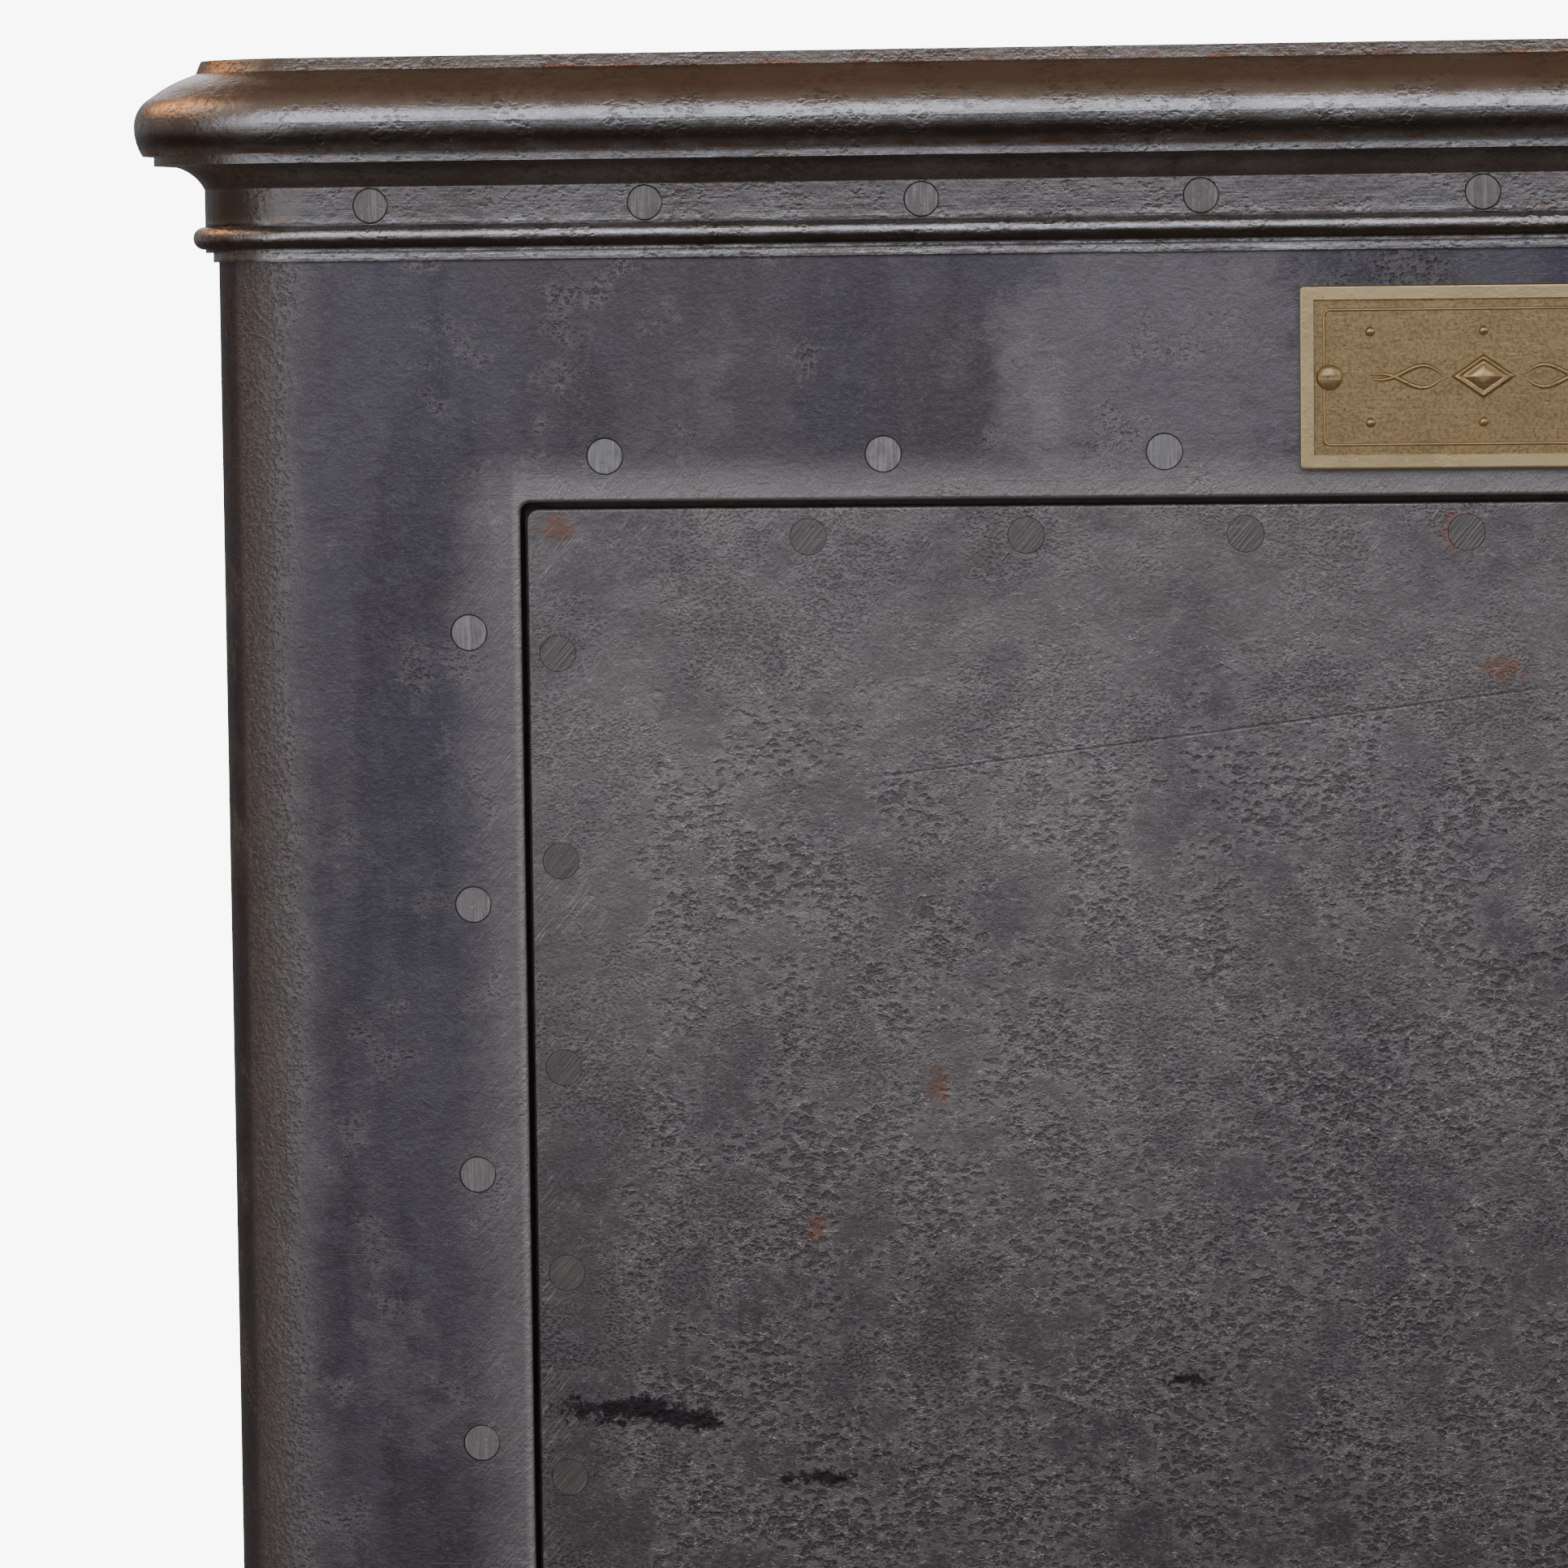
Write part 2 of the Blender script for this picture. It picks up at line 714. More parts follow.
@dataclass(frozen=True)
class FiledMoulding(Finish):
    """Wrought moulding, filed bright and left to darken in its hollows.

    The eye reads a bright grainy rounding, brown hollows, and thin copper-red lines at the quirks.
    """

    bright: str = "bfbcbb"
    shade: str = "8d8783"
    dark: str = "4a4340"
    worn: str = "dcdad8"
    foot: float = 0.0
    bands: tuple[Band, ...] = ()
    wander: float = 2.4 * MM

    def surface(self, pattern: Pattern) -> tuple[Socket, Socket, Socket]:
        """Colour, roughness and relief of the moulding, with its dirt laid by height.

        Args:
            pattern: Maker of masks in the material's node tree.

        Returns:
            Colour, roughness mask and normal.
        """
        grain = pattern.noise(1.3, 5.0, 0.72, 1.0)
        even = pattern.sums("ADD", pattern.sums("MULTIPLY", pattern.clouds(11.0, 0.42, 0.60, 2.0), 0.5), 0.35)
        skin, rims = pattern.pits(1.2, 1.8, even, 3.0)
        clouds = pattern.clouds(30.0, 0.42, 0.60, 4.0, 10.0, 0.74)
        brushed = pattern.strokes(Across.LEVEL, 0.36, 12.0, 5.0)
        strokes = pattern.step(brushed, 0.52, 0.64)
        layers = [
            (clouds, 0.50, self.shade),
            (pattern.step(skin, 0.8, 0.1), 0.30, self.dark),
            (pattern.step(grain, 0.52, 0.64), 0.25, self.shade),
            (strokes, 0.25, self.worn),
            (rims, 0.20, self.worn),
        ]
        layers += self.dirt(pattern, pattern.axes().outputs[2])
        colour = pattern.colours(self.bright, layers)
        rough = pattern.noise(3.0, 5.0, 0.7, 8.0)
        normal = pattern.relief(
            [
                (skin, 0.060),
                (grain, 0.140),
                (brushed, 0.045),
                (pattern.noise(6.0, 3.0, 0.5, 9.0), 0.24),
                (pattern.noise(24.0, 3.0, 0.5, 10.0), 0.45),
            ]
        )
        return colour, rough, normal

    def dirt(self, pattern: Pattern, z: Socket) -> list[tuple[Socket, float, str]]:
        """Layers of the bands, with edges that wander by a millimetre or so.

        Args:
            pattern: Maker of masks.
            z: Height.

        Returns:
            Mask, strength and colour of each layer.
        """
        off = pattern.sums("MULTIPLY", pattern.noise(8.0, 6.0, 0.66, 11.0), self.wander)
        height = pattern.sums("SUBTRACT", pattern.sums("ADD", z, off), self.foot + self.wander / 2)
        layers = []
        for number, band in enumerate(self.bands):
            low, high, soft = band.low * MM, band.high * MM, band.soft * MM
            mask = pattern.both(
                pattern.step(height, low - soft, low + soft), pattern.step(height, high + soft, high - soft)
            )
            if band.broken:
                mask = pattern.both(mask, pattern.clouds(9.0, 0.48, 0.60, 20.0 + number, 6.0, 0.7))
            layers.append((mask, band.strength, band.colour))
        return layers


@dataclass(frozen=True)
class FiledSteel(Finish):
    """Soft steel dressed with a file: bright, with strokes one way and a few dull specks."""

    base: str = "aaa7a5"
    dull: str = "7b7675"
    bright: str = "cdcac7"
    across: Across = Across.UPRIGHT
    stroke: float = 0.6

    def surface(self, pattern: Pattern) -> tuple[Socket, Socket, Socket]:
        """Colour, roughness and relief of the filed steel.

        Args:
            pattern: Maker of masks in the material's node tree.

        Returns:
            Colour, roughness mask and normal.
        """
        strokes = pattern.strokes(self.across, self.stroke, 12.0, 1.0)
        dull = pattern.clouds(6.0, 0.46, 0.64, 2.0)
        specks = pattern.clouds(1.4, 0.58, 0.68, 3.0)
        colour = pattern.colours(
            self.base,
            [
                (dull, 0.55, self.dull),
                (pattern.step(strokes, 0.48, 0.62), 0.55, self.bright),
                (specks, 0.40, self.dull),
            ],
        )
        normal = pattern.relief([(strokes, 0.12), (specks, -0.03), (pattern.noise(2.0, 4.0, 0.6, 4.0), 0.03)])
        return colour, dull, normal


@dataclass(frozen=True)
class AgedBrass(Finish):
    """Cast and stamped brass, handled for a century.

    The eye reads a rubbed golden rim, a brown olive field, and small dark pits.
    """

    rubbed: str = "f8dfab"
    base: str = "d3b684"
    olive: str = "a58d62"
    dark: str = "5d4e36"
    rim_at: float = 0.0
    sunk_at: float = 0.0

    def surface(self, pattern: Pattern) -> tuple[Socket, Socket, Socket]:
        """Colour, roughness and relief of the brass.

        Args:
            pattern: Maker of masks in the material's node tree.

        Returns:
            Colour, roughness mask and normal.
        """
        clouds = pattern.clouds(15.0, 0.42, 0.62, 1.0, 8.0, 0.66)
        grain = pattern.noise(0.9, 4.0, 0.65, 2.0)
        pits = pattern.clouds(1.6, 0.60, 0.70, 3.0, 5.0)
        wear = pattern.step(pattern.strokes(Across.LEVEL, 0.35, 16.0, 4.0), 0.48, 0.64)
        layers = [(clouds, 0.45, self.olive), (wear, 0.25, self.rubbed), (pits, 0.50, self.dark)]
        if self.rim_at != self.sunk_at:
            depth = pattern.axes().outputs[1]
            low = pattern.step(depth, self.rim_at + 0.2 * MM, self.sunk_at - 0.1 * MM)
            high = pattern.step(depth, self.rim_at + 0.6 * MM, self.rim_at + 0.2 * MM)
            layers += [
                (low, 0.35, self.olive),
                (pattern.both(low, pattern.step(grain, 0.45, 0.6)), 0.35, self.dark),
                (high, 0.65, self.rubbed),
            ]
        colour = pattern.colours(self.base, layers)
        normal = pattern.relief([(grain, 0.05), (pits, -0.05), (pattern.noise(8.0, 3.0, 0.5, 5.0), 0.14)])
        return colour, clouds, normal


@dataclass(frozen=True)
class OldPaint(Finish):
    """Matt oil paint on sheet iron, brushed on and rubbed through at the high places."""

    base: str = "6b716a"
    faded: str = "7f847c"
    rubbed: str = "8b7f72"

    def surface(self, pattern: Pattern) -> tuple[Socket, Socket, Socket]:
        """Colour, roughness and relief of the old paint.

        Args:
            pattern: Maker of masks in the material's node tree.

        Returns:
            Colour, roughness mask and normal.
        """
        clouds = pattern.clouds(70.0, 0.40, 0.62, 1.0)
        rubbed = pattern.clouds(24.0, 0.60, 0.64, 2.0, 8.0, 0.7)
        brushed = pattern.strokes(Across.LEVEL, 1.2, 60.0, 3.0)
        colour = pattern.colours(self.base, [(clouds, 0.6, self.faded), (rubbed, 0.6, self.rubbed)])
        normal = pattern.relief([(brushed, 0.10), (pattern.noise(2.2, 4.0, 0.6, 4.0), 0.05), (rubbed, -0.05)])
        return colour, clouds, normal


@dataclass(frozen=True)
class DryPlaster(Finish):
    """Cast plaster and ash: pale, dull and open-grained."""

    base: str = "b5afa1"
    ash: str = "8b867b"

    def surface(self, pattern: Pattern) -> tuple[Socket, Socket, Socket]:
        """Colour, roughness and relief of the plaster.

        Args:
            pattern: Maker of masks in the material's node tree.

        Returns:
            Colour, roughness mask and normal.
        """
        clouds = pattern.clouds(25.0, 0.42, 0.62, 1.0)
        pores = pattern.clouds(2.5, 0.62, 0.70, 2.0)
        colour = pattern.colours(self.base, [(clouds, 0.6, self.ash), (pores, 0.6, self.ash)])
        normal = pattern.relief([(pattern.noise(1.5, 5.0, 0.7, 3.0), 0.2), (pores, -0.3)])
        return colour, clouds, normal


@dataclass(frozen=True)
class PaleFloor(Finish):
    """Pale trowelled floor, almost even, with faint clouds, that brightens outwards into the backdrop."""

    base: str = "e6e4e0"
    cloud: str = "dcd9d4"
    glow: float = 0.8
    far_glow: float = 9.4
    near: float = 1.0
    far: float = 3.1

    def surface(self, pattern: Pattern) -> tuple[Socket, Socket, Socket]:
        """Colour, roughness and relief of the floor.

        Args:
            pattern: Maker of masks in the material's node tree.

        Returns:
            Colour, roughness mask and normal.
        """
        clouds = pattern.clouds(400.0, 0.35, 0.65, 1.0)
        colour = pattern.colours(self.base, [(clouds, 0.5, self.cloud)])
        normal = pattern.relief([(pattern.noise(60.0, 3.0, 0.5, 2.0), 0.2)])
        return colour, clouds, normal

    def make(self) -> bpy.types.Material:
        """Build the material, with a glow that grows with the square of a smooth step of the radius.

        Returns:
            The finished material.
        """
        material = super().make()
        tree = material.node_tree
        shader = tree.nodes["surface"]
        pattern = Pattern(tree, add_node(tree, "ShaderNodeTexCoord").outputs["Object"])
        radius = add_node(tree, "ShaderNodeVectorMath", {"operation": "LENGTH"}, None, {0: pattern.place})
        outwards = pattern.step(radius.outputs[1], self.near, self.far)
        gain = pattern.sums("MULTIPLY", pattern.both(outwards, outwards), self.far_glow - self.glow)
        tree.links.new(pattern.sums("ADD", gain, self.glow), shader.inputs["Emission Strength"])
        shader.inputs["Emission Color"].default_value = linear(self.base)
        return material


def grid_faces(rows: int, columns: int) -> np.ndarray:
    """Quads of a grid of points whose last column joins its first.

    Args:
        rows: Rows of points.
        columns: Points in a row.

    Returns:
        Four vertex numbers a face.
    """
    number = np.arange(rows * columns).reshape(rows, columns)
    number = np.hstack([number, number[:, :1]])
    corners = [number[:-1, :-1], number[1:, :-1], number[1:, 1:], number[:-1, 1:]]
    return np.stack(corners, axis=-1).reshape(-1, 4)


Part = tuple[np.ndarray, np.ndarray]


def joined(name: str, parts: list[Part], smooth: bool = True) -> bpy.types.Object:
    """One object from several sets of vertices and quads, its doubles merged and its faces turned outwards.

    Args:
        name: Name of the piece.
        parts: Pairs of vertices, in metres, and quads.
        smooth: Whether its faces are shaded smooth.

    Returns:
        The new object, linked to the scene.
    """
    counts = np.cumsum([0] + [len(vertices) for vertices, _ in parts])
    vertices = np.vstack([vertices for vertices, _ in parts])
    quads = np.vstack([quads + start for (_, quads), start in zip(parts, counts)])
    mesh = bpy.data.meshes.new(name)
    mesh.from_pydata(vertices.tolist(), [], quads.tolist())
    shape = bmesh.new()
    shape.from_mesh(mesh)
    bmesh.ops.remove_doubles(shape, verts=shape.verts, dist=1e-6)
    bmesh.ops.dissolve_degenerate(shape, edges=shape.edges, dist=1e-7)
    bmesh.ops.recalc_face_normals(shape, faces=shape.faces)
    shape.to_mesh(mesh)
    shape.free()
    mesh.polygons.foreach_set("use_smooth", np.full(len(mesh.polygons), smooth))
    made = bpy.data.objects.new(name, mesh)
    bpy.context.scene.collection.objects.link(made)
    return made


@dataclass
class SubAssembly:
    """Part of the safe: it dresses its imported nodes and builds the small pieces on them."""

    dressed: list[str] = field(default_factory=list)
    pieces: list[str] = field(default_factory=list)

    def dress(self, finish: Finish, *nodes: str) -> bpy.types.Material:
        """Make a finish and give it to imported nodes.

        Args:
            finish: The finish to make.
            nodes: Names of the nodes that get it.

        Returns:
            The made material.
        """
        material = finish.make()
        for node in nodes:
            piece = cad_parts[node]
            if not piece.material_slots:
                piece.data.materials.append(material)
            for slot in piece.material_slots:
                slot.material = material
        self.dressed += nodes
        return material

    def fix(self, piece: bpy.types.Object, material: bpy.types.Material, body: str, slot: str) -> None:
        """Give a new piece its material, its body and its slot.

        Args:
            piece: The new piece.
            material: Material of all its faces.
            body: Rigid body that it rides on.
            slot: Material slot of the record.
        """
        piece.data.materials.append(material)
        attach(piece, body)
        self.pieces.append(piece.name)

    def build(self) -> None:
        """Dress the nodes and build the pieces."""
        raise NotImplementedError


@dataclass
class Casing(SubAssembly):
    """Outer plates, straps, rivets and the jamb of the door."""

    def build(self) -> None:
        """Dress the casing."""
        plate = BluedPlate("blued_hot_rolled_iron", 0.95, (0.30, 0.50), 1.3)
        self.dress(plate, "front_frame", "outer_shell", "top_plate", "base_plate", "seam_straps", "door_jamb")
        rivets = FiledSteel("filed_rivet_steel", 0.95, (0.34, 0.52), 5.2)
        self.dress(rivets, "shell_rivets", "frame_rivets")


@dataclass
class Mouldings(SubAssembly):
    """Cornice and plinth with their rivets."""

    def cornice_bands(self) -> tuple[Band, ...]:
        """Dirt and copper lines of the cornice, from its foot up."""
        return (
            Band(-2.0, 0.6, 0.4, 0.60, "4f423a"),
            Band(2.3, 5.2, 0.6, 0.75, "4a3a30"),
            Band(8.2, 9.0, 0.3, 0.70, "352b26"),
            Band(9.0, 9.9, 0.4, 0.60, "b07c5c", True),
            Band(9.5, 17.5, 1.5, 0.85, "78716d"),
            Band(17.3, 22.9, 1.3, 0.60, "6a594d"),
            Band(22.9, 25.1, 0.5, 0.50, "736a64"),
            Band(25.1, 26.3, 0.4, 0.75, "b07c5c", True),
            Band(26.2, 30.6, 1.8, 0.88, "4a3d35"),
            Band(38.0, 44.3, 2.2, 0.70, "7d6555"),
            Band(44.2, 45.4, 0.4, 0.65, "b07c5c", True),
            Band(45.4, 49.0, 0.4, 0.60, "8a847f"),
        )

    def plinth_bands(self) -> tuple[Band, ...]:
        """Dirt of the plinth, from the floor up."""
        return (
            Band(-6.0, 5.0, 3.0, 0.80, "43382f"),
            Band(58.0, 63.5, 1.0, 0.60, "4f4138"),
            Band(76.0, 84.5, 2.0, 0.80, "43382f"),
            Band(91.0, 93.0, 0.5, 0.70, "b07c5c", True),
        )

    def build(self) -> None:
        """Dress both mouldings and their rivets."""
        cornice = FiledMoulding(
            "filed_cornice_iron",
            0.97,
            (0.15, 0.37),
            3.1,
            foot=CORNICE_FOOT,
            bands=self.cornice_bands(),
        )
        self.dress(cornice, "cornice_moulding")
        plinth = FiledMoulding(
            "filed_plinth_iron",
            0.97,
            (0.24, 0.46),
            4.4,
            bands=self.plinth_bands(),
        )
        self.dress(plinth, "plinth_moulding")
        rivets = FiledSteel("scraped_rivet_steel", 0.95, (0.32, 0.50), 8.2, "8f8985", "7d7773", "b3aeaa")
        self.dress(rivets, "moulding_rivets")


@dataclass
class Interior(SubAssembly):
    """Sheet chest, shelf, packings and the box behind the door."""

    def build(self) -> None:
        """Dress the interior."""
        paint = OldPaint("matt_oil_paint", 0.0, (0.55, 0.75), 2.2)
        self.dress(paint, "inner_box", "shelf", "shelf_brackets", "door_back_cover", "door_box_frame")
        plaster = DryPlaster("cast_plaster_packing", 0.0, (0.85, 0.95), 3.3)
        self.dress(plaster, "fire_packing", "door_packing")


@dataclass
class Door(SubAssembly):
    """Door plates and their rivets."""

    def build(self) -> None:
        """Dress the door plates."""
        plate = PittedPlate("pitted_scraped_iron", 0.95, (0.30, 0.50), 2.6)
        self.dress(plate, "door_front_plate", "door_backing_plate")
        rivets = FiledSteel(
            "rubbed_rivet_iron", 0.95, (0.34, 0.52), 6.6, "847f7c", "75706d", "938e8b", Across.SLANT
        )
        self.dress(rivets, "door_rivets")


@dataclass
class Boltwork(SubAssembly):
    """Handle, bolts, carriage, slides, guides and locks."""

    def build(self) -> None:
        """Dress the polished and the oiled steel."""
        polished = FiledSteel(
            "polished_handle_steel", 0.98, (0.18, 0.36), 6.1, "bdbab6", "959089", stroke=0.3
        )
        self.dress(
            polished,
            "door_handle",
            "handle_rosette",
            "side_bolts",
            "top_bolts",
            "bottom_bolts",
            "dog_bolts",
        )
        oiled = FiledSteel(
            "oiled_lock_steel", 0.97, (0.26, 0.44), 9.4, "a5a29f", "7f7974", across=Across.SLANT
        )
        self.dress(
            oiled,
            "lock_plate",
            "bolt_guides",
            "lock_bolt_guides",
            "bolt_carriage",
            "gate_pins",
            "top_slide",
            "bottom_slide",
            "handle_pinion",
            "handle_shaft",
            "left_lock_bolt",
            "right_lock_bolt",
            "left_key_barrel",
            "right_key_barrel",
            "back_cover_screws",
            *[f"gate_wheel_{n}" for n in range(1, 5)],
        )


@dataclass
class SlottedScrew:
    """Round head of a screw on a face that looks along -Y. Sizes in metres."""

    x: float
    y: float
    z: float
    turn: float
    radius: float = 3.6 * MM
    height: float = 1.3 * MM
    slot: float = 1.0 * MM
    slot_depth: float = 0.75 * MM
    rings: int = 15
    spokes: int = 64

    def grid(self) -> Part:
        """Head as a polar grid.

        The height is a cap, h = H (0.25 + 0.75 (1 - (r / R)^2)), less the slot, which falls smoothly
        where the distance from the slot's middle line is under its half width.

        Returns:
            Vertices and quads of one closed head.
        """
        angle = np.linspace(0, 2 * math.pi, self.spokes, endpoint=False)
        share = np.concatenate([[0.0, 1.0], np.linspace(1.0, 0.0, self.rings)])
        radius = self.radius * share[:, None] * np.ones_like(angle)
        side = radius * np.cos(angle + self.turn)
        along = radius * np.sin(angle + self.turn)
        from_slot = np.abs(radius * np.sin(angle))
        cap = self.height * (0.25 + 0.75 * (1 - share[:, None] ** 2)) * np.ones_like(radius)
        cut = np.clip((self.slot / 2 - from_slot) / (0.25 * self.slot), 0, 1)
        top = cap - np.minimum(self.slot_depth, cap * 0.9) * cut
        top[:2] = 0.0
        vertices = np.stack([self.x + side, self.y - top, self.z + along], axis=-1)
        return vertices.reshape(-1, 3), grid_faces(len(share), self.spokes)


@dataclass
class Hinges(SubAssembly):
    """Hinge leaves and pins, with four slotted screws to a leaf."""

    leaf_thickness: float = 5.0 * MM
    leaf_height: float = 100.0 * MM
    knuckles: float = 23.2 * MM
    margin: float = 9.0 * MM
    proud: float = 0.1 * MM

    def screws(self, node: str, outward: int) -> list[Part]:
        """Screw heads on a leaf node, by its own box in the frame.

        Args:
            node: Name of the leaves' node.
            outward: 1 where the leaf reaches towards +X from the knuckle, -1 where towards -X.

        Returns:
            Vertices and quads of each head.
        """
        low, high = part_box(node)
        flat = high.x - low.x - self.knuckles
        outer = high.x if outward > 0 else low.x
        columns = (outer - outward * self.margin, outer - outward * (flat - self.margin))
        rows = (
            low.z + self.margin,
            low.z + self.leaf_height - self.margin,
            high.z - self.leaf_height + self.margin,
            high.z - self.margin,
        )
        face = FRONT_Y - self.leaf_thickness + self.proud
        return [
            SlottedScrew(x, face, z, turn=0.7 * column + 1.9 * row).grid()
            for column, x in enumerate(columns)
            for row, z in enumerate(rows)
        ]

    def build(self) -> None:
        """Dress the leaves and pins, and set the screws."""
        leaves = BluedPlate("blued_hinge_iron", 0.95, (0.28, 0.46), 7.9)
        self.dress(leaves, "frame_hinge_leaves", "door_hinge_leaves")
        pins = FiledSteel("turned_pin_steel", 0.97, (0.24, 0.42), 3.9, across=Across.LEVEL)
        steel = self.dress(pins, "hinge_pins")
        for node, body, outward in (
            ("frame_hinge_leaves", Body.SAFE, 1),
            ("door_hinge_leaves", Body.DOOR, -1),
        ):
            self.fix(joined(f"{node}_screws", self.screws(node, outward)), steel, body.value, "lock_steel")


@dataclass
class MakersPlate(SubAssembly):
    """Brass plate with a fine inner line, a lozenge, tapering flourishes and six studs."""

    sunk: float = 1.2 * MM
    line_inset: float = 5.6 * MM
    line_radius: float = 0.36 * MM
    line_corner: float = 1.4 * MM
    lozenge_half_width: float = 7.5 * MM
    lozenge_half_height: float = 5.2 * MM
    lozenge_rise: float = 0.85 * MM
    flourish_length: float = 17.0 * MM
    flourish_wave: float = 3.0 * MM
    flourish_radius: float = 0.62 * MM
    flourish_gap: float = 1.6 * MM
    stud_radius: float = 1.15 * MM
    stud_spread: tuple[float, float] = (26.0 * MM, 10.5 * MM)

    def field_y(self) -> float:
        """Depth of the sunk field."""
        return PLATE_LOW.y + self.sunk

    def middle(self) -> tuple[float, float]:
        """Middle of the plate, as X and Z."""
        return (PLATE_LOW.x + PLATE_HIGH.x) / 2, (PLATE_LOW.z + PLATE_HIGH.z) / 2

    def tube(self, path: np.ndarray, radii: np.ndarray, closed: bool = False) -> Part:
        """Round bead along a path on the field.

        The section at each point is a circle of its radius, turned square to the path:
        p + r cos(a) n + r sin(a) y, its middle on the field.

        Args:
            path: Points as X and Z.
            radii: Radius at each point.
            closed: Whether the path joins its own start.

        Returns:
            Vertices and quads.
        """
        ahead = np.roll(path, -1, axis=0) - np.roll(path, 1, axis=0) if closed else np.gradient(path, axis=0)
        ahead /= np.linalg.norm(ahead, axis=1)[:, None]
        normal = np.stack([-ahead[:, 1], ahead[:, 0]], axis=1)
        angle = np.linspace(0, 2 * math.pi, 12, endpoint=False)
        side = radii[:, None] * np.cos(angle)
        x = path[:, 0, None] + side * normal[:, 0, None]
        z = path[:, 1, None] + side * normal[:, 1, None]
        y = self.field_y() - radii[:, None] * np.sin(angle)
        quads = grid_faces(len(path), len(angle))
        if closed:
            first = np.arange(len(angle))
            last = (len(path) - 1) * len(angle) + first
            quads = np.vstack([quads, np.stack([last, first, np.roll(first, -1), np.roll(last, -1)], axis=1)])
        return np.stack([x, y, z], axis=-1).reshape(-1, 3), quads

    def inner_line(self) -> Part:
        """Fine line inside the border: four quarter circles joined by straight runs.

        Returns:
            Vertices and quads.
        """
        half_width = (PLATE_HIGH.x - PLATE_LOW.x) / 2 - self.line_inset - self.line_corner
        half_height = (PLATE_HIGH.z - PLATE_LOW.z) / 2 - self.line_inset - self.line_corner
        angle = np.linspace(0, math.pi / 2, 9)[None, :] + np.arange(4)[:, None] * math.pi / 2
        x = np.array([1, -1, -1, 1])[:, None] * half_width + self.line_corner * np.cos(angle)
        z = np.array([1, 1, -1, -1])[:, None] * half_height + self.line_corner * np.sin(angle)
        path = np.stack([x.ravel(), z.ravel()], axis=1) + np.array(self.middle())
        return self.tube(path, np.full(len(path), self.line_radius), closed=True)

    def lozenge(self) -> Part:
        """Raised lozenge with a stepped rim.

        Its outline is |x| / a + |z| / b = 1, and its height follows its share of the way out: a
        point in the middle, a groove near 0.7 and a bevel to the field at one.

        Returns:
            Vertices and quads.
        """
        angle = np.linspace(0, 2 * math.pi, 64, endpoint=False)
        level = np.abs(np.cos(angle)) / self.lozenge_half_width
        upright = np.abs(np.sin(angle)) / self.lozenge_half_height
        reach = 1 / (level + upright)
        share = np.array([0.0, 1.0, 1.0, 0.86, 0.80, 0.70, 0.62, 0.5, 0.25, 0.0])
        rise = np.array([0.0, 0.0, 0.1, 1.0, 1.0, 0.35, 0.4, 1.05, 1.35, 1.4]) * self.lozenge_rise
        middle_x, middle_z = self.middle()
        x = middle_x + share[:, None] * reach * np.cos(angle)
        z = middle_z + share[:, None] * reach * np.sin(angle)
        y = self.field_y() - rise[:, None] * np.ones_like(angle)
        return np.stack([x, y, z], axis=-1).reshape(-1, 3), grid_faces(len(share), len(angle))

    def flourish(self, side: int, upper: int) -> Part:
        """Tapering wave beside the lozenge, z = w sin(1.5 pi t) (1.15 - t), pointed at both ends.

        Args:
            side: 1 on the right of the lozenge, -1 on its left.
            upper: 1 where the wave starts upwards, -1 where downwards.

        Returns:
            Vertices and quads.
        """
        t = np.linspace(0, 1, 36)
        middle_x, middle_z = self.middle()
        x = middle_x + side * (self.lozenge_half_width + self.flourish_gap + self.flourish_length * t)
        z = middle_z + upper * self.flourish_wave * np.sin(1.5 * math.pi * t) * (1.15 - t)
        radii = self.flourish_radius * np.sqrt(np.clip(np.sin(math.pi * t), 0, 1))
        radii[0] = radii[-1] = 0.0
        return self.tube(np.stack([x, z], axis=1), radii)

    def stud(self, x: float, z: float) -> Part:
        """Small round stud: a flattened half sphere on the field.

        Args:
            x: Its middle, from the middle of the front.
            z: Its height.

        Returns:
            Vertices and quads.
        """
        angle = np.linspace(0, 2 * math.pi, 24, endpoint=False)
        tilt = np.linspace(0, math.pi / 2, 8)
        radius = np.concatenate([[0.0], self.stud_radius * np.cos(tilt)])
        rise = np.concatenate([[0.0], 0.75 * self.stud_radius * np.sin(tilt)])
        points = np.stack(
            [
                x + radius[:, None] * np.cos(angle),
                self.field_y() - rise[:, None] * np.ones_like(angle),
                z + radius[:, None] * np.sin(angle),
            ],
            axis=-1,
        )
        return points.reshape(-1, 3), grid_faces(len(radius), len(angle))

    def build(self) -> None:
        """Dress the plate and its screws, and lay the ornament on it."""
        stamped = AgedBrass(
            "stamped_plate_brass", 0.95, (0.30, 0.48), 1.7, rim_at=PLATE_LOW.y, sunk_at=self.field_y()
        )
        self.dress(stamped, "name_plate")
        turned = self.dress(AgedBrass("turned_screw_brass", 0.95, (0.28, 0.44), 2.9), "name_plate_screws")
        middle_x, middle_z = self.middle()
        away_x, away_z = self.stud_spread
        parts = [self.inner_line(), self.lozenge()]
        parts += [self.flourish(side, upper) for side in (-1, 1) for upper in (-1, 1)]
        parts += [
            self.stud(middle_x + side * away_x, middle_z + upper * away_z)
            for side in (-1, 0, 1)
            for upper in (-1, 1)
        ]
        self.fix(joined("name_plate_ornament", parts), turned, Body.SAFE.value, "aged_brass")


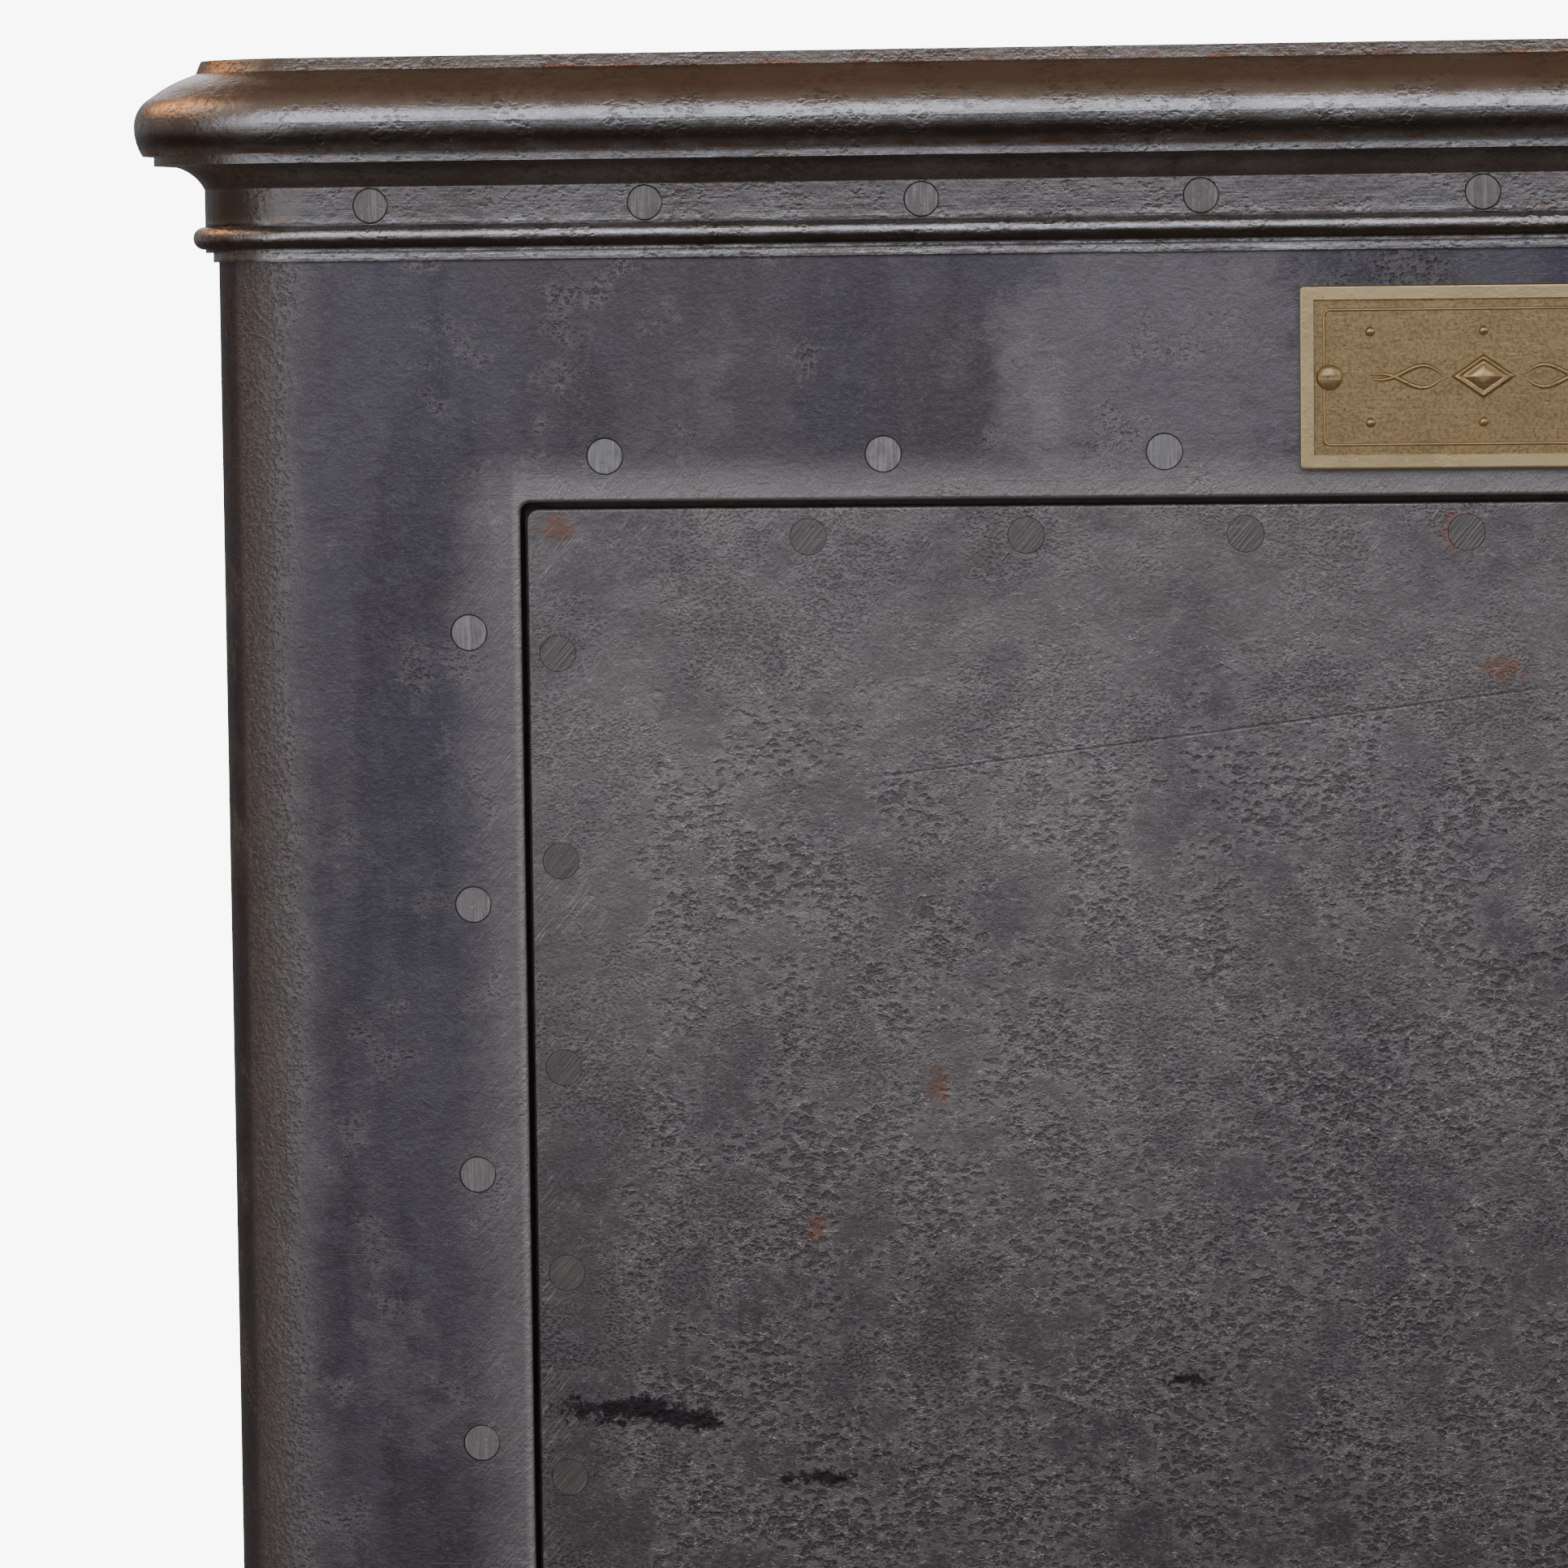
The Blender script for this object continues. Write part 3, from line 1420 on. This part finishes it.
@dataclass
class Dials(SubAssembly):
    """Combination dials, their rings with bars round them, and the keyhole brasses."""

    bars: int = 20
    bar_reach: tuple[float, float] = (22.6 * MM, 26.2 * MM)
    long_bar_start: float = 21.9 * MM
    index_reach: tuple[float, float] = (3.5 * MM, 11.0 * MM)
    half_width: float = 0.35 * MM
    rise: float = 0.25 * MM
    sink: float = 0.05 * MM

    def bar(self, x: float, y: float, z: float, angle: float, inner: float, outer: float) -> Part:
        """Small block along a radius, raised out of a dial's face.

        Args:
            x: Middle of the dial.
            y: Depth of the face.
            z: Height of the dial's middle.
            angle: Turn of the radius from +X towards +Z.
            inner: Radius at which the block starts.
            outer: Radius at which it ends.

        Returns:
            Vertices and quads.
        """
        ahead = np.array([math.cos(angle), math.sin(angle)])
        across = np.array([-ahead[1], ahead[0]]) * self.half_width
        near, far = inner * ahead, outer * ahead
        corners = np.array([near - across, far - across, far + across, near + across])
        base = np.stack([x + corners[:, 0], np.full(4, y + self.sink), z + corners[:, 1]], axis=1)
        top = base - np.array([0, self.rise + self.sink, 0])
        quads = [[0, 1, 2, 3], [7, 6, 5, 4], [0, 4, 5, 1], [1, 5, 6, 2], [2, 6, 7, 3], [3, 7, 4, 0]]
        return np.vstack([base, top]), np.array(quads)

    def build(self) -> None:
        """Dress the brasses, and set the bars and the index of every dial."""
        brass = AgedBrass("turned_dial_brass", 0.95, (0.24, 0.42), 4.8)
        nodes = ["dial_rings", "keyhole_escutcheons", "left_keyhole_cover", "right_keyhole_cover"]
        nodes += ["spindle_sleeves", "cover_pivot_screws"] + [f"combination_dial_{n}" for n in range(1, 5)]
        self.dress(brass, *nodes)
        enamel = OldPaint("black_mark_enamel", 0.0, (0.35, 0.5), 5.5, "2a2928", "333130", "3c3936").make()
        ring_low, ring_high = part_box("dial_rings")
        middle_z = (ring_low.z + ring_high.z) / 2
        ring_bars = []
        for number in range(1, 5):
            low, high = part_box(f"combination_dial_{number}")
            middle_x = (low.x + high.x) / 2
            for step in range(self.bars):
                angle = 2 * math.pi * step / self.bars + math.pi / 2
                inner = self.long_bar_start if step % 5 == 0 else self.bar_reach[0]
                ring_bars.append(self.bar(middle_x, ring_low.y, middle_z, angle, inner, self.bar_reach[1]))
            index = self.bar(middle_x, low.y, middle_z, math.pi / 2, *self.index_reach)
            piece = joined(f"dial_index_{number}", [index], smooth=False)
            self.fix(piece, enamel, f"dial_{number}", "lock_steel")
        self.fix(joined("dial_ring_bars", ring_bars, smooth=False), enamel, Body.DOOR.value, "lock_steel")


@dataclass(frozen=True)
class Window:
    """Soft rectangular light. Angles in degrees from the middle of the front, sizes in metres.

    The azimuth turns to the left of the front's normal, and the radiance is in watts per steradian
    and square metre, so the lamp's power is pi times radiance times area.
    """

    name: str
    azimuth: float
    elevation: float
    distance: float
    width: float
    height: float
    radiance: float
    colour: str


@dataclass
class Studio:
    """Floor, light and camera. Distances in metres, angles in degrees."""

    distance: float = 1.5086
    rise: float = 0.0024
    yaw: float = 6.182
    pitch: float = -4.741
    roll: float = 0.691
    focal_pixels: float = 8000.0
    frame_pixels: float = 1932.0
    sensor: float = 36.0
    floor_radius: float = 3.3
    floor_drop: float = 0.2 * MM
    backdrop: float = 9.0
    middle: tuple[float, float, float] = (0.0, FRONT_Y, 1.0)
    windows: tuple[Window, ...] = (
        Window("front_window", 4.0, 25.0, 3.4, 2.8, 1.5, 2.3, "e4edff"),
        Window("left_window", 42.0, 4.0, 2.6, 0.8, 1.5, 1.25, "eef2fa"),
        Window("warm_window", 116.0, 34.0, 2.4, 0.7, 0.7, 4.4, "ffae6c"),
        Window("right_window", -62.0, 22.0, 2.8, 1.0, 1.6, 1.5, "f4f4f6"),
        Window("back_window", 172.0, 26.0, 3.4, 2.4, 1.4, 2.0, "f2f4fa"),
        Window("left_side_window", 88.0, 40.0, 2.8, 1.2, 0.9, 1.2, "ffe2c8"),
    )

    def camera(self) -> None:
        """Set the camera as the photograph was taken: a long lens, level with the cornice, turned left.

        The turn is yaw about Z, then pitch about X, then roll about the view line; the lens is the
        focal length in pixels times the sensor's width over the frame's.
        """
        data = bpy.data.cameras.new("camera")
        data.sensor_width = self.sensor
        data.sensor_fit = "HORIZONTAL"
        data.lens = self.focal_pixels / self.frame_pixels * self.sensor
        data.dof.use_dof = False
        data.clip_start = 0.05
        data.clip_end = 50.0
        turn = (
            Matrix.Rotation(math.radians(self.yaw), 3, "Z")
            @ Matrix.Rotation(math.radians(self.pitch), 3, "X")
            @ Matrix.Rotation(math.radians(self.roll), 3, "Y")
        )
        right, ahead, up = (turn.col[k] for k in range(3))
        matrix = Matrix((right, up, -ahead)).transposed().to_4x4()
        matrix.translation = Vector((0.0, FRONT_Y - self.distance, CORNICE_FOOT + self.rise))
        eye = bpy.data.objects.new("camera", data)
        eye.matrix_world = matrix
        bpy.context.scene.collection.objects.link(eye)
        bpy.context.scene.camera = eye

    def hang(self, window: Window) -> None:
        """Hang a soft light that faces the middle of the front and isn't seen itself.

        Args:
            window: The light.
        """
        azimuth, elevation = math.radians(window.azimuth), math.radians(window.elevation)
        direction = Vector(
            (
                -math.sin(azimuth) * math.cos(elevation),
                -math.cos(azimuth) * math.cos(elevation),
                math.sin(elevation),
            )
        )
        data = bpy.data.lights.new(window.name, "AREA")
        data.shape = "RECTANGLE"
        data.size = window.width
        data.size_y = window.height
        data.energy = math.pi * window.radiance * window.width * window.height
        data.color = linear(window.colour)[:3]
        lamp = bpy.data.objects.new(window.name, data)
        lamp.location = Vector(self.middle) + direction * window.distance
        lamp.rotation_euler = (-direction).to_track_quat("-Z", "Y").to_euler()
        lamp.visible_camera = False
        bpy.context.scene.collection.objects.link(lamp)

    def room(self) -> None:
        """Surround the safe: a pale backdrop to look at, and a dim room for the metal to mirror.

        The mirrored room is grey at eye level, brown overhead and on the left, and dark below.
        """
        world = bpy.data.worlds.new("room")
        bpy.context.scene.world = world
        world.use_nodes = True
        tree = world.node_tree
        tree.nodes.clear()
        pattern = Pattern(tree, add_node(tree, "ShaderNodeTexCoord").outputs["Generated"])
        axes = pattern.axes()
        x, z = axes.outputs[0], axes.outputs[2]
        colour = pattern.colours(
            "7f7f82",
            [
                (pattern.step(z, 0.12, 0.50), 1.0, "857261"),
                (pattern.step(z, -0.05, -0.36), 1.0, "443b36"),
                (pattern.step(x, -0.72, -0.95), 0.9, "604d40"),
            ],
        )
        mirrored = add_node(tree, "ShaderNodeBackground", None, {"Strength": 1.0}, {"Color": colour})
        seen = add_node(
            tree, "ShaderNodeBackground", None, {"Color": linear("f8f8f7"), "Strength": self.backdrop}
        )
        looked_at = add_node(tree, "ShaderNodeLightPath").outputs["Is Camera Ray"]
        links = {0: looked_at, 1: mirrored.outputs[0], 2: seen.outputs[0]}
        mixed = add_node(tree, "ShaderNodeMixShader", None, None, links)
        add_node(tree, "ShaderNodeOutputWorld", None, None, {"Surface": mixed.outputs[0]})

    def floor(self) -> None:
        """Lay a round pale floor that the metal doesn't mirror: rings of a polar grid, r = R s."""
        share = np.array([0.0, 0.1, 0.3, 0.6, 1.0])
        angle = np.linspace(0, 2 * math.pi, 96, endpoint=False)
        radius = self.floor_radius * share[:, None]
        level = np.full((len(share), len(angle)), -self.floor_drop)
        points = np.stack([radius * np.cos(angle), radius * np.sin(angle), level], axis=-1)
        floor = joined("floor", [(points.reshape(-1, 3), grid_faces(len(share), len(angle)))])
        floor.data.materials.append(PaleFloor("pale_plaster_floor", 0.0, (0.55, 0.70)).make())
        floor.visible_glossy = False

    def build(self) -> None:
        """Lay the floor, surround the safe and hang the lights."""
        self.camera()
        self.room()
        self.floor()
        for window in self.windows:
            self.hang(window)


def main() -> None:
    """Build the sub-assemblies in order, report each, then set the studio."""
    dressed = set()
    for part in (Casing(), Mouldings(), Interior(), Door(), Boltwork(), Hinges(), MakersPlate(), Dials()):
        part.build()
        dressed.update(part.dressed)
        LOG.info("%s: %d nodes dressed, pieces %s", type(part).__name__, len(part.dressed), part.pieces)
    for node in sorted(set(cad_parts) - dressed):
        LOG.warning("no finish on %s", node)
    Studio().build()
    LOG.info("Studio: camera, floor and lights")


if __name__ == "__main__":
    logging.basicConfig(level=logging.INFO, format="%(message)s")
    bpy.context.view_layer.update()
    main()
